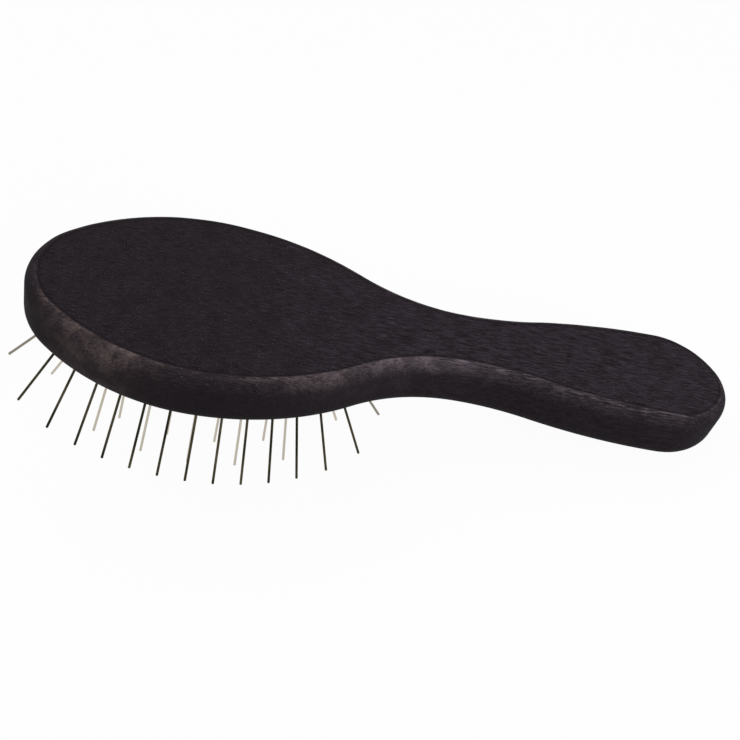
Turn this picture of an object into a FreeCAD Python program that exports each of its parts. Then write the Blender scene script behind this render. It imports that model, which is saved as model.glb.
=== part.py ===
import FreeCAD, Part
import math
import os

# Pin brush for a dog's coat: a one-piece wooden body with a flat back, a round-edged head and a
# waisted grip, an air-cushion rubber pad sprung into an oval recess under the head, and headed
# steel pins pushed out through the pad, square to its curve.
# The brush is worked out in its own frame and then laid down as it comes to rest on a table:
# pins down, the grip's end lowest. Millimetres, +Z up.
# Own frame: x runs from the head's tip to the grip's end, y across, z = 0 on the flat back.

# Wooden body, outline
HEAD_SPAN = 52.3          # head's tip to its widest place
TAPER_SPAN = 78.0         # head's widest place to the neck
SWELL_SPAN = 65.0         # neck to the grip's widest place
BUTT_SPAN = 22.0          # grip's widest place to its end
HEAD_WIDTH = 71.3
NECK_WIDTH = 26.2
GRIP_WIDTH = 40.6
TIP_FULLNESS = 0.70       # radius at the head's tip, as a share of the head's half width
BUTT_FULLNESS = 0.83      # radius at the grip's end, as a share of the grip's half width
HEAD_SHARE = 0.59         # how the head's crown and the neck's hollow share their radii
GRIP_SHARE = 0.65         # how the grip's crown and the neck's hollow share theirs

# Wooden body, section
BODY_THICKNESS = 18.0
BACK_ROUND = 5.0          # routed round between the side and the back
BACK_PLANED = 0.36        # sanded off the back after routing, which leaves a crease
FACE_ROUND = 6.2          # routed round between the side and the pin face

# Recess under the head
TIP_MARGIN = 7.9          # wood between the head's tip and the pad
SIDE_MARGIN = 9.2         # wood between the head's side and the pad
NECK_MARGIN = 30.4        # wood between the pad and the neck's narrowest place
RECESS_DEPTH = 9.0
LIP_DEPTH = 2.4           # pin face to the undercut groove that holds the pad
FLANGE_REACH = 1.8        # how far the pad's edge reaches into the groove
FLANGE_THICKNESS = 2.0
PAD_CLEARANCE = 0.15      # round the pad's edge, in the recess and in its groove

# Rubber pad
PAD_THICKNESS = 1.8
PAD_BULGE = 9.2           # how far the pad's middle stands out beyond its edge
FLANGE_BEAD = 2.0         # width of the thick ring inside the pad's edge
VENT_DIAMETER = 1.6

# Steel pins
PIN_DIAMETER = 0.8
PIN_REACH = 28.5          # pad's surface to the tip
PIN_BEVEL = 0.15
PIN_HEAD_DIAMETER = 2.2
PIN_HEAD_THICKNESS = 0.5
PIN_CLEARANCE = 0.03      # round each pin in its hole, and under its head
PIN_SIDES = 6             # flats that stand for the round of the wire
RING_INSET = 5.0          # pad's edge to the outer ring of pins
RING_PIN_COUNTS = (28, 12, 8, 4)   # from the outer ring to the row on the middle line
RING_STAGGERED = (False, False, True, False)   # rings with no pin at the two ends of their oval
SIDE_LEAN = 30.5          # degrees that the outer ring leans out at the head's sides
END_LEAN = 44.5           # and at the ring's two ends
END_LEAN_POWER = 7.0      # how late the lean rises towards the ends
LENGTHWISE_LEAN = 0.80    # share of the lean that goes along the brush

# Worked out from the sizes above
BODY_LENGTH = HEAD_SPAN + TAPER_SPAN + SWELL_SPAN + BUTT_SPAN
NECK_AT = HEAD_SPAN + TAPER_SPAN
GRIP_AT = NECK_AT + SWELL_SPAN
PIN_FACE = -BODY_THICKNESS
PAD_HALF_LENGTH = (NECK_AT - NECK_MARGIN - TIP_MARGIN) / 2
PAD_AT = TIP_MARGIN + PAD_HALF_LENGTH
PAD_HALF_WIDTH = HEAD_WIDTH / 2 - SIDE_MARGIN
PAD_EDGE = PIN_FACE + LIP_DEPTH
PAD_CROWN = PAD_EDGE - PAD_BULGE
PIN_RADIUS = PIN_DIAMETER / 2
RING_LENGTH = PAD_HALF_LENGTH - RING_INSET
RING_WIDTH = PAD_HALF_WIDTH - RING_INSET
OVERCUT = 1.0             # how far cutting shapes run past what they cut
TOLERANCE = 0.01          # how close two places are to count as one


def vector(x, y, z):
    return FreeCAD.Vector(x, y, z)


def arc(start, end, centre, side):
    """The shorter arc from start to end round centre, on the +y side or mirrored to the other."""
    start, end, centre = [vector(point.x, side * point.y, 0) for point in (start, end, centre)]
    middle = (start + end) * 0.5 - centre
    middle = centre + middle.normalize() * (start - centre).Length
    return Part.Arc(start, middle, end).toShape()


def end_curves(tip, crown, fullness, side):
    """From an end on the middle line to the level top of the crown beside it."""
    inward = math.copysign(1, crown.x - tip.x)
    span, half = abs(crown.x - tip.x), crown.y
    small = half * fullness
    large = ((span - small) ** 2 + half ** 2 - small ** 2) / (2 * (half - small))
    small_centre = vector(tip.x + inward * small, 0, 0)
    large_centre = vector(crown.x, half - large, 0)
    join = small_centre + (small_centre - large_centre).normalize() * small
    return [arc(tip, join, small_centre, side), arc(join, crown, large_centre, side)]


def waist_curves(crown, neck, share, side):
    """From the level top of a crown down to the level bottom of the neck's hollow."""
    span, drop = neck.x - crown.x, crown.y - neck.y
    both = (span ** 2 + drop ** 2) / (2 * drop)
    crown_centre = vector(crown.x, crown.y - both * share, 0)
    hollow_centre = vector(neck.x, neck.y + both * (1 - share), 0)
    join = crown_centre + (hollow_centre - crown_centre) * share
    return [arc(crown, join, crown_centre, side), arc(join, neck, hollow_centre, side)]


def half_outline(side):
    """One side of the outline, tangent arcs from the head's tip to the grip's end."""
    tip, end = vector(0, 0, 0), vector(BODY_LENGTH, 0, 0)
    head = vector(HEAD_SPAN, HEAD_WIDTH / 2, 0)
    neck = vector(NECK_AT, NECK_WIDTH / 2, 0)
    grip = vector(GRIP_AT, GRIP_WIDTH / 2, 0)
    return (end_curves(tip, head, TIP_FULLNESS, side) + waist_curves(head, neck, HEAD_SHARE, side)
            + waist_curves(grip, neck, GRIP_SHARE, side) + end_curves(end, grip, BUTT_FULLNESS, side))


def oval(half_length, half_width, low, high):
    """An upright oval block centred on the pad."""
    ellipse = Part.Ellipse(vector(PAD_AT, 0, low), half_length, half_width)
    face = Part.Face(Part.Wire([ellipse.toShape()]))
    return face.extrude(vector(0, 0, high - low))


def wooden_body():
    edges = half_outline(1) + half_outline(-1)
    outline = Part.Wire(Part.__sortEdges__(edges))
    block = Part.Face(outline)
    block.translate(vector(0, 0, PIN_FACE))
    block = block.extrude(vector(0, 0, BODY_THICKNESS + BACK_PLANED))
    middle = (PIN_FACE + BACK_PLANED) / 2
    flat = [edge for edge in block.Edges if edge.BoundBox.ZLength < TOLERANCE]
    block = block.makeFillet(BACK_ROUND, [edge for edge in flat if edge.BoundBox.ZMin > middle])
    flat = [edge for edge in block.Edges if abs(edge.BoundBox.ZMax - PIN_FACE) < TOLERANCE]
    block = block.makeFillet(FACE_ROUND, flat)
    shavings = Part.makeBox(BODY_LENGTH, HEAD_WIDTH, BACK_PLANED * 2, vector(0, -HEAD_WIDTH / 2, 0))
    block = block.cut(shavings)
    recess = oval(PAD_HALF_LENGTH + PAD_CLEARANCE, PAD_HALF_WIDTH + PAD_CLEARANCE,
                  PIN_FACE - OVERCUT, PIN_FACE + RECESS_DEPTH)
    reach = FLANGE_REACH + PAD_CLEARANCE
    groove = oval(PAD_HALF_LENGTH + reach, PAD_HALF_WIDTH + reach,
                  PAD_EDGE - PAD_CLEARANCE, PAD_EDGE + FLANGE_THICKNESS + PAD_CLEARANCE)
    return block.cut(recess.fuse(groove))


def pad_dome():
    """The bulged sheet: it falls away with the square of the distance and is level at the oval edge."""
    reach_x, reach_y = PAD_HALF_LENGTH + OVERCUT, PAD_HALF_WIDTH + OVERCUT
    surface = Part.BezierSurface()
    surface.increase(2, 2)
    for column in (-1, 0, 1):
        for row in (-1, 0, 1):
            along = (2 * abs(column) - 1) * (reach_x / PAD_HALF_LENGTH) ** 2
            across = (2 * abs(row) - 1) * (reach_y / PAD_HALF_WIDTH) ** 2
            height = PAD_CROWN + PAD_BULGE * (along + across)
            corner = vector(PAD_AT + column * reach_x, row * reach_y, height)
            surface.setPole(column + 2, row + 2, corner)
    return surface.toShape().extrude(vector(0, 0, PAD_THICKNESS))


def pad_surface(x, y):
    """Height of the pad's outer surface, x from the pad's middle."""
    return PAD_CROWN + PAD_BULGE * ((x / PAD_HALF_LENGTH) ** 2 + (y / PAD_HALF_WIDTH) ** 2)


def pad_normal(x, y):
    """The way that the pad's outer surface faces."""
    rise_x = 2 * PAD_BULGE * x / PAD_HALF_LENGTH ** 2
    rise_y = 2 * PAD_BULGE * y / PAD_HALF_WIDTH ** 2
    return vector(rise_x, rise_y, -1).normalize()


def ring_places(half_length, half_width, count, staggered):
    """Evenly spaced places round one ring, those on the +y side and on the middle line.

    A staggered ring starts half a step from its end, so it has no pin on the middle line.
    A ring with no width is a row on the middle line.
    """
    if half_width == 0:
        return [(half_length * (2 * i + 1 - count) / count, 0) for i in range(count)]
    edge = Part.Ellipse(vector(0, 0, 0), half_length, half_width).toShape()
    steps = edge.discretize(Number=2 * count + 1)[:-1]
    ends = [(p.x, 0) for p in steps[staggered::2] if abs(p.y) < TOLERANCE]
    return sorted(ends + [(p.x, p.y) for p in steps[staggered::2] if p.y > TOLERANCE])


def pin_direction(x, y, half_length, half_width):
    """The way a pin points, square to the pad at the sides and leaning further at the ring's ends."""
    if half_width == 0:
        outward = vector(math.copysign(1, x), 0, 0)
        lean = math.radians(SIDE_LEAN) * (x / RING_LENGTH) ** 2
    else:
        outward = vector(x / half_length ** 2, y / half_width ** 2, 0).normalize()
        rise = (END_LEAN - SIDE_LEAN) * abs(x / half_length) ** END_LEAN_POWER
        lean = math.radians((SIDE_LEAN + rise) * half_width / RING_WIDTH)
    along = outward.x * LENGTHWISE_LEAN * math.sin(lean)
    return vector(along, outward.y * math.sin(lean), -math.cos(lean)).normalize()


def many_sided(rings):
    """A closed upright solid through rings of radius and height, each with a pin's flats."""
    turns = [2 * math.pi * i / PIN_SIDES for i in range(PIN_SIDES)]
    corners = [[vector(r * math.cos(t), r * math.sin(t), z) for t in turns] for r, z in rings]
    faces = [Part.Face(Part.makePolygon(ring + ring[:1])) for ring in (corners[0], corners[-1])]
    for low, high in zip(corners, corners[1:]):
        for i in range(PIN_SIDES):
            side = [low[i - 1], low[i], high[i], high[i - 1], low[i - 1]]
            faces.append(Part.Face(Part.makePolygon(side)))
    solid = Part.Solid(Part.Shell(faces))
    return solid if solid.Volume > 0 else solid.reversed()


class Pin:
    """One headed pin: where it leaves the pad, the way it points and where its head seats."""

    def __init__(self, x, y, direction):
        self.x, self.y = x, y
        self.base = vector(PAD_AT + x, y, pad_surface(x, y))
        self.direction = direction
        normal = pad_normal(x, y)
        cosine = normal.dot(direction)
        sine = math.sqrt(max(0, 1 - cosine ** 2))
        head_radius = PIN_HEAD_DIAMETER / 2
        hollow = 2 * PAD_BULGE * (head_radius / PAD_HALF_WIDTH) ** 2
        self.seat = (PAD_THICKNESS * -normal.z + head_radius * sine + hollow) / cosine + PIN_CLEARANCE

    def place(self, shape):
        shape.Placement = FreeCAD.Placement(self.base, FreeCAD.Rotation(vector(0, 0, 1), self.direction))
        return shape

    def solid(self):
        head_radius = PIN_HEAD_DIAMETER / 2
        rings = [(head_radius, -self.seat - PIN_HEAD_THICKNESS), (head_radius, -self.seat),
                 (PIN_RADIUS, -self.seat), (PIN_RADIUS, PIN_REACH - PIN_BEVEL),
                 (PIN_RADIUS - PIN_BEVEL, PIN_REACH)]
        return self.place(many_sided(rings))

    def hole(self):
        radius = PIN_RADIUS + PIN_CLEARANCE / math.cos(math.pi / PIN_SIDES)
        return self.place(many_sided([(radius, -self.seat * 2), (radius, self.seat)]))

    def mirrored(self):
        return Pin(self.x, -self.y, vector(self.direction.x, -self.direction.y, self.direction.z))


def pin_groups():
    """Pins by node name: each place on the middle line alone, each other place with its mirror twin."""
    groups = {}
    for ring, (count, staggered) in enumerate(zip(RING_PIN_COUNTS, RING_STAGGERED)):
        inward = ring / (len(RING_PIN_COUNTS) - 1)
        half_length, half_width = RING_LENGTH - RING_WIDTH * inward, RING_WIDTH * (1 - inward)
        for number, (x, y) in enumerate(ring_places(half_length, half_width, count, staggered), 1):
            pin = Pin(x, y, pin_direction(x, y, half_length, half_width))
            groups[f"pins_ring_{ring + 1}_{number:02d}"] = [pin, pin.mirrored()] if y else [pin]
    return groups


def rubber_pad(pins):
    sheet = oval(PAD_HALF_LENGTH, PAD_HALF_WIDTH, PAD_CROWN - OVERCUT, 0).common(pad_dome())
    flange = oval(PAD_HALF_LENGTH + FLANGE_REACH, PAD_HALF_WIDTH + FLANGE_REACH,
                  PAD_EDGE, PAD_EDGE + FLANGE_THICKNESS)
    hollow = oval(PAD_HALF_LENGTH - FLANGE_BEAD, PAD_HALF_WIDTH - FLANGE_BEAD, PAD_EDGE - OVERCUT, 0)
    pad = sheet.fuse(flange.cut(hollow))
    vent = Part.makeCylinder(VENT_DIAMETER / 2, PAD_THICKNESS * 4,
                             vector(PAD_AT, 0, PAD_CROWN - PAD_THICKNESS))
    holes = Part.makeCompound([pin.hole() for pin in pins] + [vent])
    return pad.cut(holes)


def lowest(shape):
    return shape.optimalBoundingBox(False, False).ZMin


def resting_placement(body, pins):
    """Turn the brush until its longest pins and the grip's end are level, and stand it on z = 0."""
    level, steep = 0.0, 30.0
    while steep - level > 0.001:
        tilt = (level + steep) / 2
        turn = FreeCAD.Placement(vector(0, 0, 0), FreeCAD.Rotation(vector(0, 1, 0), tilt))
        if lowest(body.transformed(turn.toMatrix())) > lowest(pins.transformed(turn.toMatrix())):
            level = tilt
        else:
            steep = tilt
    turned = Part.makeCompound([body, pins]).transformed(turn.toMatrix())
    box = turned.optimalBoundingBox(False, False)
    turn.Base = vector(-(box.XMin + box.XMax) / 2, -(box.YMin + box.YMax) / 2, -box.ZMin)
    print(f"resting tilt {tilt:.2f} degrees")
    return turn


groups = pin_groups()
all_pins = [pin for group in groups.values() for pin in group]
nodes = {"wooden_body": wooden_body(), "rubber_pad": rubber_pad(all_pins)}
for name, group in groups.items():
    nodes[name] = Part.makeCompound([pin.solid() for pin in group])
pin_nodes = [nodes[name] for name in groups]
placement = resting_placement(nodes["wooden_body"], Part.makeCompound(pin_nodes))

os.makedirs("parts", exist_ok=True)
for name, shape in nodes.items():
    shape.transformed(placement.toMatrix()).exportStep(f"parts/{name}.step")
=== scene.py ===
import math

import bmesh
import bpy
import numpy as np
from mathutils import Matrix, Vector, noise

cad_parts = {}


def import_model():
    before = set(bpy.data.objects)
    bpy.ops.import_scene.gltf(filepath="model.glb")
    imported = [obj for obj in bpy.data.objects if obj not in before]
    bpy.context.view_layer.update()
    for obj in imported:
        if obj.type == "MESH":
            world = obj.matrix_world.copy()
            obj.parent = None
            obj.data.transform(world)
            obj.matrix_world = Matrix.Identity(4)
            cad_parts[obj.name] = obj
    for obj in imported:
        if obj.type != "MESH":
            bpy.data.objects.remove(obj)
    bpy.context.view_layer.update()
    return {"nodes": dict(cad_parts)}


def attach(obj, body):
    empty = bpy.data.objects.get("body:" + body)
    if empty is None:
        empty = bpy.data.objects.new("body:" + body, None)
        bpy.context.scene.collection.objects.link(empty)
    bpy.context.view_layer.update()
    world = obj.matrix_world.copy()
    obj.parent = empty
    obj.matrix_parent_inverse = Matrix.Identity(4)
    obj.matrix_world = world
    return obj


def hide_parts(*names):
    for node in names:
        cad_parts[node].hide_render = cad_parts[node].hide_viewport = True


# Pin brush for a dog's coat, lying pins down as on a table. The body, the pad and the pins are made
# again here at the CAD model's sizes, with finer surfaces, worn edges and procedural finishes.
# Shapes are worked out in the brush's own frame, in millimetres: x from the head's tip to the
# grip's end, y across, z = 0 on the flat back and the pins towards -z.

MM = 0.001

# Wooden body
HEAD_SPAN, TAPER_SPAN, SWELL_SPAN, BUTT_SPAN = 52.3, 78.0, 65.0, 22.0
HEAD_WIDTH, NECK_WIDTH, GRIP_WIDTH = 71.3, 26.2, 40.6
TIP_FULLNESS, BUTT_FULLNESS = 0.70, 0.83
HEAD_SHARE, GRIP_SHARE = 0.59, 0.65
BODY_THICKNESS = 18.0
BACK_ROUND, BACK_PLANED, FACE_ROUND = 5.0, 0.36, 6.2
OUTLINE_STEP = 1.1         # spacing of the mesh along the outline
ROUND_STEPS = 10           # and across each round
CREASE_WAVER = 0.15        # how far hand sanding wanders at the crease round the back
CREASE_WAVES = 0.13        # how many times it wanders in a millimetre
CREASE_DIP = 0.03          # how far the sanding drops the crease below the flat back
CREASE_SHADE_INNER, CREASE_SHADE_OUTER = 1.5, 0.5   # how far inside the crease its painted shade ends and is full
FACE_RIM = 0.8             # first strip of the flat pin face, beside its round

# Pale band on the edge between back and side: wear where fingers hold the brush, and painted highlight
# where the edge faces the lamp
RUBBED_AND_LIT = (                 # place along the brush, reach to each side, how hard, how far down the side
    (23, 18, 0.85, 0.6),
    (105, 38, 1.0, 0.05),
    (186, 34, 0.36, 0.0),
)
RUBBED_AND_LIT_BEYOND = 0.3        # share of that on the +y side, away from the lamp, which gets less painted highlight
RUBBED_AND_LIT_FALL = 3.4          # how fast it fades down the side, and how much slower where it goes far down
RUBBED_AND_LIT_FALL_EASED = 4
BACK_ROUND_PALING = 0.5      # share of the pale band, wear and painted highlight, lost over the round of the back
FACE_ROUND_PALING = 0.3      # share of it left on the round of the pin face
CREASE_FADE = 2.5          # the streak along the crease ends at 1 / 2.5 of the round
FACE_SIDE_SHARE = 0.2      # how much of the sides' darkening the flat pin face has

# Recess and pad
TIP_MARGIN, SIDE_MARGIN, NECK_MARGIN = 7.9, 9.2, 30.4
RECESS_DEPTH, LIP_DEPTH, LIP_ROUND = 9.0, 2.4, 0.4
FLANGE_REACH, FLANGE_THICKNESS, FLANGE_BEAD = 1.8, 2.0, 2.0
PAD_CLEARANCE, PAD_THICKNESS, PAD_BULGE = 0.15, 1.8, 9.2
VENT_DIAMETER = 1.6
OVAL_STEPS = 168           # vertices round the pad and the recess
SHEET_RINGS = 26           # and rings from the vent to the pad's rim
COLLAR_WIDTH, COLLAR_RISE = 2.4, 0.35

# Steel pins
PIN_DIAMETER, PIN_REACH, PIN_BEVEL = 0.8, 28.5, 0.15
PIN_HEAD_DIAMETER, PIN_HEAD_THICKNESS = 2.2, 0.5
PIN_HEAD_EDGE = 0.7        # share of the head's thickness before it narrows
PIN_HEAD_TOP = 0.8         # share of its width that is left on top
PIN_SIDES = 16
PIN_PAINTED_LIGHT = (0.0, 1.0, 1.0, 1.0)   # how bright the wire is painted, from painted shade on the outer ring inwards to bright steel
END_PIN_PAINTED_LIGHT = 0.4                # and the outer ring's two pins on the middle line

# Colours, as shares of red, green and blue light
STAIN_IN_PORES, STAIN_ON_FIBRES = (0.0052, 0.0036, 0.0050, 1), (0.042, 0.033, 0.042, 1)
DARK_ON_SIDES = (0.0065, 0.0045, 0.0060, 1)
# Pale wood of the edge band: bared by wear, and lighter as painted highlight
BARED_AND_LIT_ON_HEAD, BARED_AND_LIT_ON_GRIP = (0.160, 0.118, 0.114, 1), (0.176, 0.143, 0.166, 1)
DUST_ON_WOOD, DUST_ON_RUBBER = (0.115, 0.102, 0.106, 1), (0.2, 0.19, 0.18, 1)
RUBBER_DEEP, RUBBER_BLOOM = (0.012, 0.012, 0.013, 1), (0.028, 0.027, 0.027, 1)
# Dark steel for the outer ring is painted shade, a dark reflection put into the colour, with random olive
# tone
SHADED_STEEL_DEEP, SHADED_STEEL_THIN = (0.017, 0.0155, 0.0085, 1), (0.095, 0.083, 0.044, 1)
BRIGHT_STEEL = (0.60, 0.545, 0.455, 1)
MARK_SHADE = (0.75, 0.75, 0.75, 1)
WHITE, FLOOR_GREY = (1, 1, 1, 1), (0.9, 0.9, 0.9, 1)

# The photograph's view, in metres in the resting frame
CAMERA_AT = (-0.00226, -0.22770, 0.25398)
CAMERA_RIGHT = (0.99999, -0.00414, 0.00105)
CAMERA_BACK = (-0.00365, -0.70267, 0.71151)
CAMERA_LENS = 50.42

# Studio, in metres and watts
FLOOR_REACH = 3.0
FLOOR_WHITE = 0.95         # share of plain white in the floor that the camera sees, the rest being lit
SOFT_LIGHT = 0.42          # strength of the even light from all round
LAMP_AIM = (0, 0, 0.03)
KEY_AT, KEY_SIZE, KEY_POWER = (0.35, -0.75, 0.65), 0.6, 6.0
TOP_AT, TOP_SIZE, TOP_POWER = (-0.3, 0.4, 0.9), 0.8, 2.5

SHARP_ANGLE = math.radians(32)   # edges sharper than this are shaded as edges

NECK_AT = HEAD_SPAN + TAPER_SPAN
GRIP_AT = NECK_AT + SWELL_SPAN
BODY_LENGTH = GRIP_AT + BUTT_SPAN
PIN_FACE = -BODY_THICKNESS
PAD_HALF_LENGTH = (NECK_AT - NECK_MARGIN - TIP_MARGIN) / 2
PAD_HALF_WIDTH = HEAD_WIDTH / 2 - SIDE_MARGIN
PAD_AT = TIP_MARGIN + PAD_HALF_LENGTH
PAD_EDGE = PIN_FACE + LIP_DEPTH
PAD_CROWN = PAD_EDGE - PAD_BULGE


# Reading the CAD frame

def resting_frame(body):
    """Where the brush's own frame lies at rest, read from the flat back of the CAD body."""
    upward = [face for face in body.data.polygons if face.normal.z > 0.5]
    up = max(upward, key=lambda face: face.area).normal.copy()
    across = Vector((0, 1, 0))
    along = across.cross(up)
    tip = min(vertex.co.dot(along) for vertex in body.data.vertices)
    back = max(vertex.co.dot(up) for vertex in body.data.vertices)
    turn = Matrix((along, across, up)).transposed().to_4x4()
    return Matrix.Translation(along * tip + up * back) @ turn


def pin_line(corners):
    """Head end and tip end of one CAD pin."""
    middle = corners.mean(axis=0)
    axis = np.linalg.svd(corners - middle, full_matrices=False)[2][0]
    reach = (corners - middle) @ axis
    off_axis = np.linalg.norm(corners - middle - np.outer(reach, axis), axis=1)
    if reach[off_axis > PIN_DIAMETER * MM].mean() > 0:
        axis, reach = -axis, -reach
    return Vector(middle + axis * reach.min()), Vector(middle + axis * reach.max())


def pin_lines(nodes):
    """Head, tip and ring of every pin. Mirror twins share a CAD node, one on each side of y = 0."""
    lines = []
    for name in sorted(nodes):
        if name.startswith("pins_ring_"):
            ring = int(name.split("_")[2])
            corners = np.unique([vertex.co for vertex in nodes[name].data.vertices], axis=0)
            twins = np.ptp(corners[:, 1]) > 2 * PIN_HEAD_DIAMETER * MM
            groups = [corners[corners[:, 1] > 0], corners[corners[:, 1] < 0]] if twins else [corners]
            lines += [(*pin_line(group), ring) for group in groups]
    return lines


# Mesh helpers

def new_object(name, bm, own):
    """A mesh object at the origin, its vertices moved from the brush's own frame to the resting one."""
    bmesh.ops.recalc_face_normals(bm, faces=bm.faces)
    mesh = bpy.data.meshes.new(name)
    bm.to_mesh(mesh)
    bm.free()
    mesh.transform(own @ Matrix.Scale(MM, 4))
    mesh.shade_smooth()
    mesh.set_sharp_from_angle(angle=SHARP_ANGLE)
    obj = bpy.data.objects.new(name, mesh)
    bpy.context.scene.collection.objects.link(obj)
    return obj


def bridge(bm, loops):
    """Quads between each loop of vertices and the next."""
    for low, high in zip(loops, loops[1:]):
        for i in range(len(low)):
            bm.faces.new((low[i - 1], low[i], high[i], high[i - 1]))


def ladder_cap(bm, loop):
    """Flat quads across a loop that starts on the middle line and is the same on both its sides."""
    half = len(loop) // 2
    for i in range(half):
        rung = [loop[i], loop[i + 1], loop[-i - 1], loop[-i]]
        bm.faces.new(list(dict.fromkeys(rung)))


# Wooden body

def arc(centre, start, end, facing):
    """Places and outward directions from start up to end, on the arc round centre."""
    first = math.atan2(start.y - centre.y, start.x - centre.x)
    sweep = math.atan2(end.y - centre.y, end.x - centre.x) - first
    sweep = (sweep + math.pi) % (2 * math.pi) - math.pi
    radius = (start - centre).length
    steps = math.ceil(radius * abs(sweep) / OUTLINE_STEP)
    turns = [first + sweep * i / steps for i in range(steps)]
    directions = [Vector((math.cos(turn), math.sin(turn))) for turn in turns]
    return [(centre + direction * radius, direction * facing) for direction in directions]


def end_arcs(tip, crown, fullness):
    """Two arcs from an end on the middle line to the level top of the crown beside it."""
    inward = math.copysign(1, crown.x - tip.x)
    span, half = abs(crown.x - tip.x), crown.y
    small = half * fullness
    large = ((span - small) ** 2 + half ** 2 - small ** 2) / (2 * (half - small))
    small_centre = Vector((tip.x + inward * small, 0))
    large_centre = Vector((crown.x, half - large))
    join = small_centre + (small_centre - large_centre).normalized() * small
    return [(small_centre, tip, join, 1), (large_centre, join, crown, 1)]


def waist_arcs(crown, neck, share):
    """Two arcs from the level top of a crown down to the level bottom of the neck's hollow."""
    span, drop = neck.x - crown.x, crown.y - neck.y
    both = (span ** 2 + drop ** 2) / (2 * drop)
    crown_centre = Vector((crown.x, crown.y - both * share))
    hollow_centre = Vector((neck.x, neck.y + both * (1 - share)))
    join = crown_centre + (hollow_centre - crown_centre) * share
    return [(crown_centre, crown, join, 1), (hollow_centre, join, neck, -1)]


def reversed_arcs(arcs):
    return [(centre, end, start, facing) for centre, start, end, facing in reversed(arcs)]


def outline():
    """Places and outward directions round the body, from the head's tip along the +y side and back."""
    tip, end = Vector((0, 0)), Vector((BODY_LENGTH, 0))
    head = Vector((HEAD_SPAN, HEAD_WIDTH / 2))
    neck = Vector((NECK_AT, NECK_WIDTH / 2))
    grip = Vector((GRIP_AT, GRIP_WIDTH / 2))
    arcs = end_arcs(tip, head, TIP_FULLNESS) + waist_arcs(head, neck, HEAD_SHARE)
    arcs += reversed_arcs(waist_arcs(grip, neck, GRIP_SHARE))
    arcs += reversed_arcs(end_arcs(end, grip, BUTT_FULLNESS))
    side = [step for piece in arcs for step in arc(*piece)]
    mirror = [(Vector((p.x, -p.y)), Vector((d.x, -d.y))) for p, d in reversed(side[1:])]
    return side + [(end, Vector((1, 0)))] + mirror


def side_profile():
    """Steps down the body's side: inset, height, share of the waver, and the finish there.

    The finish is how pale the edge may be, rubbed and painted as highlight, how near the crease it is and
    how far down the side.
    The second is 1 on the crease, and -1 just inside it, where shade is painted.
    """
    start = math.acos((BACK_ROUND - BACK_PLANED) / BACK_ROUND)
    crease = BACK_ROUND * (1 - math.sin(start))
    steps = [
        (crease + CREASE_SHADE_INNER, 0, 0, (0, 0, 0)),
        (crease + CREASE_SHADE_OUTER, 0, 1, (0, -1, 0)),
        (crease, -CREASE_DIP, 1, (1, 1, 0)),
    ]
    for i in range(1, ROUND_STEPS + 1):
        turn = start + (math.pi / 2 - start) * i / ROUND_STEPS
        height = BACK_PLANED - BACK_ROUND * (1 - math.cos(turn))
        share = i / ROUND_STEPS
        finish = (1 - BACK_ROUND_PALING * share ** 1.5, max(0, 1 - share * CREASE_FADE), share)
        steps.append((BACK_ROUND * (1 - math.sin(turn)), height, 1 - share, finish))
    for i in range(ROUND_STEPS + 1):
        turn = math.pi / 2 * i / ROUND_STEPS
        height = PIN_FACE + FACE_ROUND * (1 - math.sin(turn))
        finish = (FACE_ROUND_PALING * math.cos(turn), 0, 1)
        steps.append((FACE_ROUND * (1 - math.cos(turn)), height, 0, finish))
    return steps + [(FACE_ROUND + FACE_RIM, PIN_FACE, 0, (0, 0, FACE_SIDE_SHARE))]


def rubbing_and_light(place):
    """How pale the edge is at a place on the outline, from hands rubbing the stain and from painted
    highlight, and how far down, from 0 to 1.
    """
    bumps = []
    for middle, reach, share, deep in RUBBED_AND_LIT:
        bumps.append((share * math.exp(-((place.x - middle) / reach) ** 2), deep))
    whole = sum(hard for hard, _ in bumps)
    depth = sum(hard * deep for hard, deep in bumps) / whole
    # the +y side, away from the lamp, gets less of the pale band and its painted highlight
    return min(whole, 1) * (RUBBED_AND_LIT_BEYOND if place.y > 0 else 1), depth


def recess_profile():
    """Steps from the pin face into the recess, past the pad's groove: growth of the oval, and height."""
    groove = FLANGE_REACH + PAD_CLEARANCE
    low, high = PAD_EDGE - PAD_CLEARANCE, PAD_EDGE + FLANGE_THICKNESS + PAD_CLEARANCE
    eased = LIP_ROUND * 0.3  # the middle of the lip's round
    return [
        (PAD_CLEARANCE + LIP_ROUND, PIN_FACE),
        (PAD_CLEARANCE + eased, PIN_FACE + eased),
        (PAD_CLEARANCE, PIN_FACE + LIP_ROUND),
        (PAD_CLEARANCE, low),
        (groove, low),
        (groove, high),
        (PAD_CLEARANCE, high),
        (PAD_CLEARANCE, PIN_FACE + RECESS_DEPTH),
    ]


def oval_loop(bm, grow, height):
    """A loop of vertices round the pad's oval, grown by grow."""
    loop = []
    for i in range(OVAL_STEPS):
        turn = math.pi - 2 * math.pi * i / OVAL_STEPS
        x = PAD_AT + (PAD_HALF_LENGTH + grow) * math.cos(turn)
        loop.append(bm.verts.new((x, (PAD_HALF_WIDTH + grow) * math.sin(turn), height)))
    return loop


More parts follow.
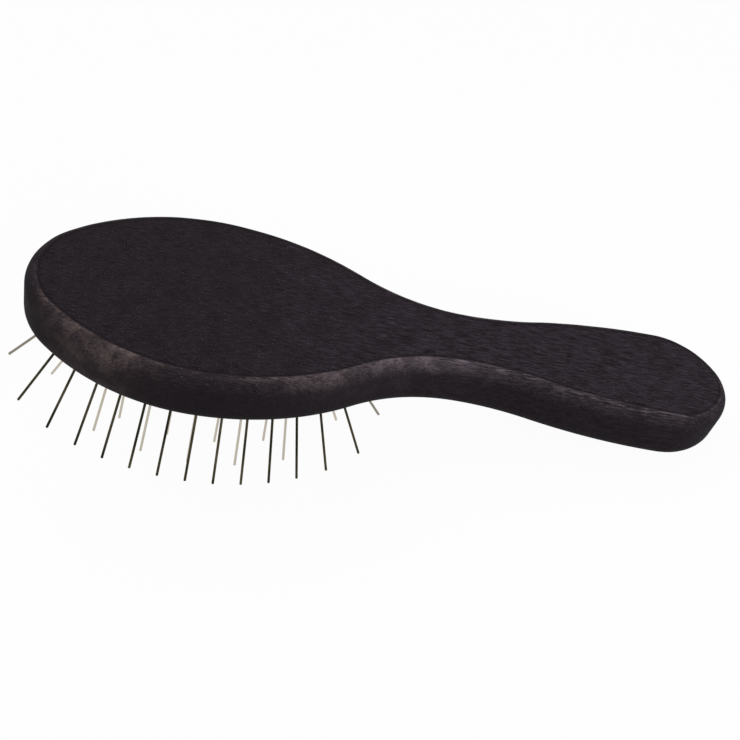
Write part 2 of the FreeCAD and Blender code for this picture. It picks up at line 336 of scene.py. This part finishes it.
def wooden_body(own):
    """The board with both edges rounded and the pad's recess. Its wear and painted highlight are kept on
    the vertices.
    """
    bm = bmesh.new()
    names = ("worn_and_lit", "crease", "side", "gripped")
    worn_and_lit, crease, side, gripped = [bm.verts.layers.float.new(name) for name in names]
    loops = []
    ring = outline()
    for inset, height, waver, (may_pale, near_crease, down_side) in side_profile():
        loop = []
        for place, outward in ring:
            wander = noise.noise(Vector((place.x, place.y, 0)) * CREASE_WAVES) * CREASE_WAVER * waver
            spot = place - outward * (inset + wander)
            vertex = bm.verts.new((spot.x, spot.y, height))
            hard, depth = rubbing_and_light(place)
            # the pale edge band, wear and painted highlight, fading down the side
            vertex[worn_and_lit] = hard ** 2 * may_pale ** (RUBBED_AND_LIT_FALL - RUBBED_AND_LIT_FALL_EASED * depth)
            vertex[crease] = near_crease * (min(hard * 2, 1) if near_crease > 0 else 1)
            vertex[side] = down_side
            vertex[gripped] = min(max((place.x - HEAD_SPAN) / TAPER_SPAN, 0), 1)
            loop.append(vertex)
        loops.append(loop)
    bridge(bm, loops)
    ladder_cap(bm, loops[0])
    recess = [oval_loop(bm, *step) for step in recess_profile()]
    bridge(bm, recess)
    ladder_cap(bm, recess[-1])
    rims = []
    for loop in (loops[-1], recess[0]):
        rims += [bm.edges.get((loop[i - 1], loop[i])) for i in range(len(loop))]
    bmesh.ops.triangle_fill(bm, edges=rims, use_beauty=True, use_dissolve=False)
    return new_object("wood_body", bm, own)


# Rubber pad

def pad_mesh(own):
    """The bulged sheet with its vent, its flange and the thick ring at its edge, as one closed skin."""
    bm = bmesh.new()
    vent = VENT_DIAMETER / 2
    shares = [math.sin(math.pi / 2 * i / SHEET_RINGS) for i in range(SHEET_RINGS + 1)]

    def sheet_loop(share, lift):
        half_x = vent + (PAD_HALF_LENGTH - vent) * share
        half_y = vent + (PAD_HALF_WIDTH - vent) * share
        loop = []
        for i in range(OVAL_STEPS):
            turn = math.pi - 2 * math.pi * i / OVAL_STEPS
            x, y = half_x * math.cos(turn), half_y * math.sin(turn)
            rise = PAD_BULGE * ((x / PAD_HALF_LENGTH) ** 2 + (y / PAD_HALF_WIDTH) ** 2)
            loop.append(bm.verts.new((PAD_AT + x, y, PAD_CROWN + rise + lift)))
        return loop

    inner_share = 1 - FLANGE_BEAD / PAD_HALF_WIDTH
    flange_top = PAD_EDGE + FLANGE_THICKNESS
    loops = [sheet_loop(share, 0) for share in shares]
    loops.append(oval_loop(bm, FLANGE_REACH, PAD_EDGE))
    loops.append(oval_loop(bm, FLANGE_REACH, flange_top))
    loops.append(oval_loop(bm, -FLANGE_BEAD, flange_top))
    loops += [sheet_loop(share * inner_share, PAD_THICKNESS) for share in reversed(shares)]
    bridge(bm, loops + loops[:1])
    return new_object("cushion_pad", bm, own)


# Nodes

def add(tree, kind, inputs=None, **settings):
    """A node with its settings made and its inputs filled, from values or from other nodes' sockets."""
    node = tree.nodes.new(kind)
    for name, value in settings.items():
        setattr(node, name, value)
    for name, value in (inputs or {}).items():
        if isinstance(value, bpy.types.NodeSocket):
            tree.links.new(value, node.inputs[name])
        else:
            node.inputs[name].default_value = value
    return node


def maths(tree, operation, *values):
    """The result of one Math node."""
    return add(tree, "ShaderNodeMath", dict(enumerate(values)), operation=operation).outputs[0]


def new_tree(name, kind, inputs, outputs):
    """A node tree with named inputs and outputs, and the socket lists of its two ends."""
    tree = bpy.data.node_groups.new(name, kind)
    for label, socket in outputs.items():
        tree.interface.new_socket(label, in_out="OUTPUT", socket_type="NodeSocket" + socket)
    for label, socket in inputs.items():
        tree.interface.new_socket(label, in_out="INPUT", socket_type="NodeSocket" + socket)
    return tree, tree.nodes.new("NodeGroupInput").outputs, tree.nodes.new("NodeGroupOutput").inputs


# Geometry Nodes

def stored(tree, name, data_type):
    """An attribute that the points carry."""
    return add(tree, "GeometryNodeInputNamedAttribute", {"Name": name}, data_type=data_type).outputs[0]


def headed_pin_tree():
    """On each point, halfway along each pin: the wire with its bevelled tip and its flat head."""
    tree, given, result = new_tree("Headed pins", "GeometryNodeTree", {
        "Geometry": "Geometry", "Length": "Float", "Wire diameter": "Float", "Tip bevel": "Float",
        "Head diameter": "Float", "Head thickness": "Float", "Head edge": "Float", "Head top": "Float",
        "Sides": "Int", "Finish": "Material",
    }, {"Geometry": "Geometry"})

    def pull(mesh, face, rise, widen):
        """Pull an end face out by rise, and widen it there."""
        moved = add(tree, "GeometryNodeExtrudeMesh", {
            "Mesh": mesh, "Selection": face, "Offset Scale": rise, "Individual": False}).outputs
        wide = add(tree, "GeometryNodeScaleElements", {
            "Geometry": moved["Mesh"], "Selection": moved["Top"], "Scale": widen})
        return wide.outputs[0], moved["Top"]

    bevel, thickness = given["Tip bevel"], given["Head thickness"]
    radius = maths(tree, "DIVIDE", given["Wire diameter"], 2)
    ends = maths(tree, "ADD", bevel, thickness)
    shaft = add(tree, "GeometryNodeMeshCylinder", {
        "Vertices": given["Sides"], "Radius": radius,
        "Depth": maths(tree, "SUBTRACT", given["Length"], ends)}).outputs
    blunt = maths(tree, "DIVIDE", maths(tree, "SUBTRACT", radius, bevel), radius)
    mesh, _ = pull(shaft["Mesh"], shaft["Top"], bevel, blunt)
    flare = maths(tree, "DIVIDE", given["Head diameter"], given["Wire diameter"])
    mesh, face = pull(mesh, shaft["Bottom"], 0.0, flare)
    straight = maths(tree, "MULTIPLY", thickness, given["Head edge"])
    mesh, face = pull(mesh, face, straight, 1.0)
    mesh, _ = pull(mesh, face, maths(tree, "SUBTRACT", thickness, straight), given["Head top"])
    shift = maths(tree, "DIVIDE", maths(tree, "SUBTRACT", thickness, bevel), 2)
    centred = add(tree, "GeometryNodeTransform", {
        "Geometry": mesh, "Translation": add(tree, "ShaderNodeCombineXYZ", {"Z": shift}).outputs[0]})
    on_wire = add(tree, "GeometryNodeInputPosition").outputs[0]
    placed = add(tree, "GeometryNodeStoreNamedAttribute", {
        "Geometry": centred.outputs[0], "Name": "wire_place", "Value": on_wire,
    }, data_type="FLOAT_VECTOR", domain="POINT")
    stretch = maths(tree, "DIVIDE", stored(tree, "pin_length", "FLOAT"), given["Length"])
    axis = stored(tree, "pin_axis", "FLOAT_VECTOR")
    turn = add(tree, "FunctionNodeAlignRotationToVector", {"Vector": axis})
    pins = add(tree, "GeometryNodeInstanceOnPoints", {
        "Points": given["Geometry"], "Instance": placed.outputs[0], "Rotation": turn.outputs[0],
        "Scale": add(tree, "ShaderNodeCombineXYZ", {"X": 1, "Y": 1, "Z": stretch}).outputs[0]})
    real = add(tree, "GeometryNodeRealizeInstances", {"Geometry": pins.outputs[0]})
    smooth = add(tree, "GeometryNodeSetShadeSmooth", {"Geometry": real.outputs[0]})
    finished = add(tree, "GeometryNodeSetMaterial", {
        "Geometry": smooth.outputs[0], "Material": given["Finish"]})
    tree.links.new(finished.outputs[0], result["Geometry"])
    return tree


def collar_tree():
    """Raised rubber round each pin: a low dome on each point of another object, joined to the sheet."""
    tree, given, result = new_tree("Raised collars", "GeometryNodeTree", {
        "Geometry": "Geometry", "Pin feet": "Object", "Width": "Float", "Height": "Float",
        "Finish": "Material",
    }, {"Geometry": "Geometry"})
    half = maths(tree, "DIVIDE", given["Width"], 2)
    ball = add(tree, "GeometryNodeMeshUVSphere", {"Segments": 20, "Rings": 8, "Radius": 1.0})
    size = add(tree, "ShaderNodeCombineXYZ", {"X": half, "Y": half, "Z": given["Height"]})
    dome = add(tree, "GeometryNodeTransform", {
        "Geometry": ball.outputs["Mesh"], "Scale": size.outputs[0]})
    feet = add(tree, "GeometryNodeObjectInfo", {"Object": given["Pin feet"]})
    facing = stored(tree, "facing", "FLOAT_VECTOR")
    turn = add(tree, "FunctionNodeAlignRotationToVector", {"Vector": facing})
    domes = add(tree, "GeometryNodeInstanceOnPoints", {
        "Points": feet.outputs["Geometry"], "Instance": dome.outputs[0], "Rotation": turn.outputs[0]})
    real = add(tree, "GeometryNodeRealizeInstances", {"Geometry": domes.outputs[0]})
    smooth = add(tree, "GeometryNodeSetShadeSmooth", {"Geometry": real.outputs[0]})
    joined = add(tree, "GeometryNodeJoinGeometry", {})
    tree.links.new(smooth.outputs[0], joined.inputs[0])
    tree.links.new(given["Geometry"], joined.inputs[0])
    finished = add(tree, "GeometryNodeSetMaterial", {
        "Geometry": joined.outputs[0], "Material": given["Finish"]})
    tree.links.new(finished.outputs[0], result["Geometry"])
    return tree


def run_tree(obj, tree, values):
    """Run a tree on obj with the given inputs and leave a plain mesh."""
    modifier = obj.modifiers.new(tree.name, "NODES")
    modifier.node_group = tree
    for item in tree.interface.items_tree:
        if item.in_out == "INPUT" and item.name in values:
            modifier[item.identifier] = values[item.name]
    graph = bpy.context.evaluated_depsgraph_get()
    mesh = bpy.data.meshes.new_from_object(obj.evaluated_get(graph), depsgraph=graph)
    obj.modifiers.remove(modifier)
    obj.data = mesh
    mesh.set_sharp_from_angle(angle=SHARP_ANGLE)


def points_object(name, places, vectors, numbers):
    """An object of loose points that carry named vectors and numbers."""
    mesh = bpy.data.meshes.new(name)
    mesh.from_pydata(places, [], [])
    for label, values in vectors.items():
        flat = [c for value in values for c in value]
        mesh.attributes.new(label, "FLOAT_VECTOR", "POINT").data.foreach_set("vector", flat)
    for label, values in numbers.items():
        mesh.attributes.new(label, "FLOAT", "POINT").data.foreach_set("value", values)
    obj = bpy.data.objects.new(name, mesh)
    bpy.context.scene.collection.objects.link(obj)
    return obj


def steel_pins(lines, finish):
    """All 52 pins as one mesh, each with how bright its wire is painted, from painted shade to bright
    steel.
    """
    middles = [(head + tip) / 2 for head, tip, _ in lines]
    axes = [(tip - head).normalized() for head, tip, _ in lines]
    lengths = [(tip - head).length for head, tip, _ in lines]
    painted_lights = []
    # painted shade on the outer ring, painted brighter on the inner pins and the two end pins
    for _, tip, ring in lines:
        at_end = ring == 1 and abs(tip.y) < PIN_DIAMETER * MM
        painted_lights.append(END_PIN_PAINTED_LIGHT if at_end else PIN_PAINTED_LIGHT[ring - 1])
    obj = points_object("steel_pins", middles, {"pin_axis": axes}, {"pin_length": lengths, "painted_light": painted_lights})
    run_tree(obj, headed_pin_tree(), {
        "Length": sum(lengths) / len(lengths),
        "Wire diameter": PIN_DIAMETER * MM,
        "Tip bevel": PIN_BEVEL * MM,
        "Head diameter": PIN_HEAD_DIAMETER * MM,
        "Head thickness": PIN_HEAD_THICKNESS * MM,
        "Head edge": PIN_HEAD_EDGE,
        "Head top": PIN_HEAD_TOP,
        "Sides": PIN_SIDES,
        "Finish": finish})
    return obj


def cushion_pad(lines, own, finish):
    """The pad, with a raised collar where each pin leaves it."""
    feet, facings = [], []
    for head, tip, _ in lines:
        foot = tip - (tip - head).normalized() * PIN_REACH * MM
        x, y, _ = own.inverted() @ foot / MM
        slope = Vector((2 * PAD_BULGE * (x - PAD_AT) / PAD_HALF_LENGTH ** 2,
                        2 * PAD_BULGE * y / PAD_HALF_WIDTH ** 2, -1))
        feet.append(foot)
        facings.append(own.to_3x3() @ slope.normalized())
    holder = points_object("pin_feet", feet, {"facing": facings}, {})
    pad = pad_mesh(own)
    run_tree(pad, collar_tree(), {
        "Pin feet": holder, "Width": COLLAR_WIDTH * MM, "Height": COLLAR_RISE * MM, "Finish": finish})
    bpy.data.objects.remove(holder)
    return pad


# Effects that several finishes share

def lines_group():
    """Fine lines along x, such as grain or drawing marks, from 0 to 1."""
    tree, given, result = new_tree("Lengthwise lines", "ShaderNodeTree", {
        "Vector": "Vector", "Length": "Float", "Width": "Float", "Roughness": "Float", "Contrast": "Float",
    }, {"Value": "Float"})
    size = add(tree, "ShaderNodeCombineXYZ", {
        "X": given["Length"], "Y": given["Width"], "Z": given["Width"]})
    scaled = add(tree, "ShaderNodeVectorMath", {0: given["Vector"], 1: size.outputs[0]}, operation="DIVIDE")
    lines = add(tree, "ShaderNodeTexNoise", {
        "Vector": scaled.outputs[0], "Scale": 1.0, "Detail": 4.0, "Roughness": given["Roughness"]})
    centred = maths(tree, "SUBTRACT", lines.outputs[0], 0.5)
    spread = maths(tree, "MULTIPLY_ADD", centred, given["Contrast"], 0.5)
    tree.links.new(add(tree, "ShaderNodeClamp", {"Value": spread}).outputs[0], result["Value"])
    return tree


def mottle_group():
    """Cloudy patches from 0 to 1, empty below Low and full above High."""
    tree, given, result = new_tree("Mottle", "ShaderNodeTree", {
        "Vector": "Vector", "Size": "Float", "Low": "Float", "High": "Float"}, {"Value": "Float"})
    scale = maths(tree, "DIVIDE", 1.0, given["Size"])
    cloud = add(tree, "ShaderNodeTexNoise", {
        "Vector": given["Vector"], "Scale": scale, "Detail": 5.0, "Roughness": 0.6})
    patch = add(tree, "ShaderNodeMapRange", {
        "Value": cloud.outputs[0], "From Min": given["Low"], "From Max": given["High"]})
    tree.links.new(patch.outputs[0], result["Value"])
    return tree


def dust_group():
    """Pale dust specks on a colour."""
    tree, given, result = new_tree("Dust", "ShaderNodeTree", {
        "Color": "Color", "Vector": "Vector", "Speck size": "Float", "Amount": "Float", "Dust": "Color",
    }, {"Color": "Color"})
    scale = maths(tree, "DIVIDE", 1.0, given["Speck size"])
    specks = add(tree, "ShaderNodeTexNoise", {
        "Vector": given["Vector"], "Scale": scale, "Detail": 2.0, "Roughness": 0.7})
    sharp = add(tree, "ShaderNodeMapRange", {
        "Value": specks.outputs[0], "From Min": 0.63, "From Max": 0.7})
    mask = maths(tree, "MULTIPLY", sharp.outputs[0], given["Amount"])
    mixed = add(tree, "ShaderNodeMix", {0: mask, 6: given["Color"], 7: given["Dust"]}, data_type="RGBA")
    tree.links.new(mixed.outputs[2], result["Color"])
    return tree


def use(tree, group, inputs):
    """A shared effect placed in a material with its own values."""
    return add(tree, "ShaderNodeGroup", inputs, node_tree=group).outputs


# Finishes

def new_material(name, own):
    """A material, its tree, its shader and the brush's own coordinates in millimetres."""
    material = bpy.data.materials.new(name)
    material.use_nodes = True
    tree = material.node_tree
    shader = tree.nodes["Principled BSDF"]
    to_own = Matrix.Scale(1 / MM, 4) @ own.inverted()
    place = add(tree, "ShaderNodeTexCoord").outputs["Object"]
    mapped = add(tree, "ShaderNodeMapping", {
        "Vector": place, "Location": to_own.to_translation(), "Rotation": to_own.to_euler(),
        "Scale": (1 / MM, 1 / MM, 1 / MM)})
    return material, tree, shader, mapped.outputs[0]


def blend(tree, factor, first, second, **settings):
    """Mix of two colours."""
    node = add(tree, "ShaderNodeMix", {0: factor, 6: first, 7: second}, data_type="RGBA", **settings)
    return node.outputs[2]


def stained_wood(own, lines, mottle, dust):
    """Purple-black stain on open grain, painted shade just inside the crease, darker on the sides, rubbed
    pale where the brush is held, with painted highlight on that edge.
    """
    material, tree, shader, place = new_material("stained_wood", own)

    def carried(name):
        return add(tree, "ShaderNodeAttribute", attribute_name=name).outputs["Fac"]

    # Grain, more open towards the grip
    fine = use(tree, lines, {
        "Vector": place, "Length": 3.5, "Width": 0.28, "Roughness": 0.7, "Contrast": 4.6})
    coarse = use(tree, lines, {
        "Vector": place, "Length": 6.0, "Width": 0.5, "Roughness": 0.7, "Contrast": 5.5})
    broad = use(tree, mottle, {"Vector": place, "Size": 9.0, "Low": 0.35, "High": 0.65})
    grain = maths(tree, "MULTIPLY", fine["Value"], maths(tree, "MULTIPLY_ADD", broad["Value"], 0.35, 0.5))
    gripped = carried("gripped")
    opened = maths(tree, "MULTIPLY", gripped, maths(tree, "MULTIPLY_ADD", coarse["Value"], 2.2, -0.5))
    open_grain = maths(tree, "MULTIPLY", grain, maths(tree, "ADD", opened, 0.8))

    # Stain, with painted shade just inside the crease, and darker on the sides
    crease, side = carried("crease"), carried("side")
    # painted shade just inside the crease
    painted_crease_shade = maths(tree, "MAXIMUM", maths(tree, "MULTIPLY", crease, -0.65), 0)
    shown = maths(tree, "MULTIPLY", open_grain, maths(tree, "SUBTRACT", 1, painted_crease_shade))
    stain = blend(tree, shown, STAIN_IN_PORES, STAIN_ON_FIBRES)
    # darker towards the bottom of the sides
    darker_sides = blend(tree, maths(tree, "MULTIPLY", side, 0.75), stain, DARK_ON_SIDES)

    # Wood bared by rubbing and painted pale as highlight, in patches on the head, evener on the grip, and
    # in streaks along the crease
    patches = use(tree, mottle, {"Vector": place, "Size": 6.0, "Low": 0.43, "High": 0.60})
    fibres = maths(tree, "MULTIPLY_ADD", fine["Value"], 0.8, 0.35)
    patchy = maths(tree, "MULTIPLY_ADD", patches["Value"], 0.7, 0.3)
    evener = maths(tree, "MAXIMUM", patchy, maths(tree, "MULTIPLY", gripped, 0.5))
    uneven = maths(tree, "MULTIPLY", evener, fibres)
    streak = maths(tree, "MULTIPLY", coarse["Value"], patchy)
    broken = maths(tree, "MULTIPLY", crease, streak)
    rubbed_and_lit = maths(tree, "MAXIMUM", maths(tree, "MULTIPLY", carried("worn_and_lit"), uneven), broken)
    bared_and_lit = blend(tree, gripped, BARED_AND_LIT_ON_HEAD, BARED_AND_LIT_ON_GRIP)
    edge = blend(tree, add(tree, "ShaderNodeClamp", {"Value": rubbed_and_lit}).outputs[0], darker_sides, bared_and_lit)

    # Dust, least on the sides, then gloss and relief
    settled = maths(tree, "MULTIPLY_ADD", side, -0.6, 0.7)
    speckled = use(tree, dust, {
        "Color": edge, "Vector": place, "Speck size": 0.5, "Amount": settled, "Dust": DUST_ON_WOOD})
    tree.links.new(speckled["Color"], shader.inputs["Base Color"])
    dull = maths(tree, "MULTIPLY_ADD", fine["Value"], 0.12, 0.72)
    tree.links.new(dull, shader.inputs["Roughness"])
    shader.inputs["Specular IOR Level"].default_value = 0.06
    bump = add(tree, "ShaderNodeBump", {"Strength": 0.35, "Distance": 0.00006, "Height": fine["Value"]})
    tree.links.new(bump.outputs[0], shader.inputs["Normal"])
    return material


def black_rubber(own, mottle, dust):
    """Smooth satin rubber with a faint bloom and a little dust."""
    material, tree, shader, place = new_material("black_rubber", own)
    bloom = use(tree, mottle, {"Vector": place, "Size": 7.0, "Low": 0.35, "High": 0.75})
    base = blend(tree, bloom["Value"], RUBBER_DEEP, RUBBER_BLOOM)
    dusty = use(tree, dust, {
        "Color": base, "Vector": place, "Speck size": 0.6, "Amount": 0.3, "Dust": DUST_ON_RUBBER})
    tree.links.new(dusty["Color"], shader.inputs["Base Color"])
    dull = maths(tree, "MULTIPLY_ADD", bloom["Value"], 0.2, 0.4)
    tree.links.new(dull, shader.inputs["Roughness"])
    return material


def drawn_steel(own, lines, mottle):
    """Wire with drawing marks along it, from painted shade on the outer ring to bright steel, by the
    painted light share that each pin carries.
    """
    material, tree, shader, place = new_material("drawn_steel", own)
    on_wire = add(tree, "ShaderNodeAttribute", attribute_name="wire_place").outputs["Vector"]
    along = add(tree, "ShaderNodeMapping", {
        "Vector": on_wire, "Rotation": (0, math.pi / 2, 0), "Scale": (1 / MM, 1 / MM, 1 / MM)}).outputs[0]
    marks = use(tree, lines, {
        "Vector": along, "Length": 9.0, "Width": 0.25, "Roughness": 0.5, "Contrast": 2.0})
    tint = use(tree, mottle, {"Vector": place, "Size": 22.0, "Low": 0.42, "High": 0.66})
    # dark steel: painted shade, a dark reflection put into the colour
    shaded_steel = blend(tree, tint["Value"], SHADED_STEEL_DEEP, SHADED_STEEL_THIN)
    painted_light = add(tree, "ShaderNodeAttribute", attribute_name="painted_light").outputs["Fac"]
    metal = blend(tree, painted_light, shaded_steel, BRIGHT_STEEL)
    shade = blend(tree, marks["Value"], MARK_SHADE, WHITE)
    tree.links.new(blend(tree, 1.0, metal, shade, blend_type="MULTIPLY"), shader.inputs["Base Color"])
    tree.links.new(maths(tree, "MULTIPLY_ADD", marks["Value"], 0.15, 0.2), shader.inputs["Roughness"])
    shader.inputs["Metallic"].default_value = 1.0
    return material


# Studio

def showing_white(tree):
    """1 for the rays that show the plain white background: camera, mirror and glass rays."""
    rays = add(tree, "ShaderNodeLightPath").outputs
    seen = maths(tree, "MAXIMUM", rays["Is Camera Ray"], rays["Is Glossy Ray"])
    return maths(tree, "MAXIMUM", seen, rays["Is Transmission Ray"])


def floor():
    """A plain floor that shows white, keeps the brush's shadow and is clear from below."""
    mesh = bpy.data.meshes.new("studio_floor")
    reach = FLOOR_REACH
    mesh.from_pydata([(-reach, -reach, 0), (reach, -reach, 0), (reach, reach, 0), (-reach, reach, 0)],
                     [], [(0, 1, 2, 3)])
    obj = bpy.data.objects.new("studio_floor", mesh)
    bpy.context.scene.collection.objects.link(obj)
    material = bpy.data.materials.new("white_floor")
    material.use_nodes = True
    tree = material.node_tree
    tree.nodes.clear()
    matt = add(tree, "ShaderNodeBsdfDiffuse", {"Color": FLOOR_GREY})
    white = add(tree, "ShaderNodeEmission", {"Color": WHITE, "Strength": 1.0})
    share = maths(tree, "MULTIPLY", showing_white(tree), FLOOR_WHITE)
    mixed = add(tree, "ShaderNodeMixShader", {0: share, 1: matt.outputs[0], 2: white.outputs[0]})
    below = add(tree, "ShaderNodeNewGeometry").outputs["Backfacing"]
    clear = add(tree, "ShaderNodeBsdfTransparent")
    open_below = add(tree, "ShaderNodeMixShader", {0: below, 1: mixed.outputs[0], 2: clear.outputs[0]})
    out = add(tree, "ShaderNodeOutputMaterial", {"Surface": open_below.outputs[0]})
    out.is_active_output = True
    mesh.materials.append(material)
    return obj


def world():
    """Soft even light all round, with a plain white background."""
    scene_world = bpy.data.worlds.new("studio")
    bpy.context.scene.world = scene_world
    scene_world.use_nodes = True
    tree = scene_world.node_tree
    tree.nodes.clear()
    soft = add(tree, "ShaderNodeBackground", {"Color": WHITE, "Strength": SOFT_LIGHT})
    white = add(tree, "ShaderNodeBackground", {"Color": WHITE, "Strength": 1.0})
    mixed = add(tree, "ShaderNodeMixShader", {
        0: showing_white(tree), 1: soft.outputs[0], 2: white.outputs[0]})
    add(tree, "ShaderNodeOutputWorld", {"Surface": mixed.outputs[0]})


def lamp(name, place, size, power):
    """A square soft lamp that shines at the brush."""
    light = bpy.data.lights.new(name, "AREA")
    light.size = size
    light.energy = power
    obj = bpy.data.objects.new(name, light)
    obj.location = place
    obj.rotation_euler = (Vector(LAMP_AIM) - Vector(place)).to_track_quat("-Z", "Y").to_euler()
    bpy.context.scene.collection.objects.link(obj)


def camera():
    """The photograph's view."""
    data = bpy.data.cameras.new("photo_view")
    data.lens = CAMERA_LENS
    data.sensor_width = 36
    data.clip_start = 0.01
    right, back = Vector(CAMERA_RIGHT), Vector(CAMERA_BACK)
    turn = Matrix((right, back.cross(right), back)).transposed().to_4x4()
    obj = bpy.data.objects.new("photo_view", data)
    obj.matrix_world = Matrix.Translation(CAMERA_AT) @ turn
    bpy.context.scene.collection.objects.link(obj)
    bpy.context.scene.camera = obj


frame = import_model()
nodes = frame["nodes"]
own = resting_frame(nodes["wooden_body"])
lines = pin_lines(nodes)
grain, mottle, dust = lines_group(), mottle_group(), dust_group()

body = wooden_body(own)
body.data.materials.append(stained_wood(own, grain, mottle, dust))
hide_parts("wooden_body")

pad = cushion_pad(lines, own, black_rubber(own, mottle, dust))
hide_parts("rubber_pad")

pins = steel_pins(lines, drawn_steel(own, grain, mottle))
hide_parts(*[name for name in nodes if name.startswith("pins_")])

for piece in (body, pad, pins):
    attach(piece, "root")

floor()
world()
camera()
lamp("key", KEY_AT, KEY_SIZE, KEY_POWER)
lamp("top", TOP_AT, TOP_SIZE, TOP_POWER)
bpy.context.scene.view_settings.view_transform = "Standard"
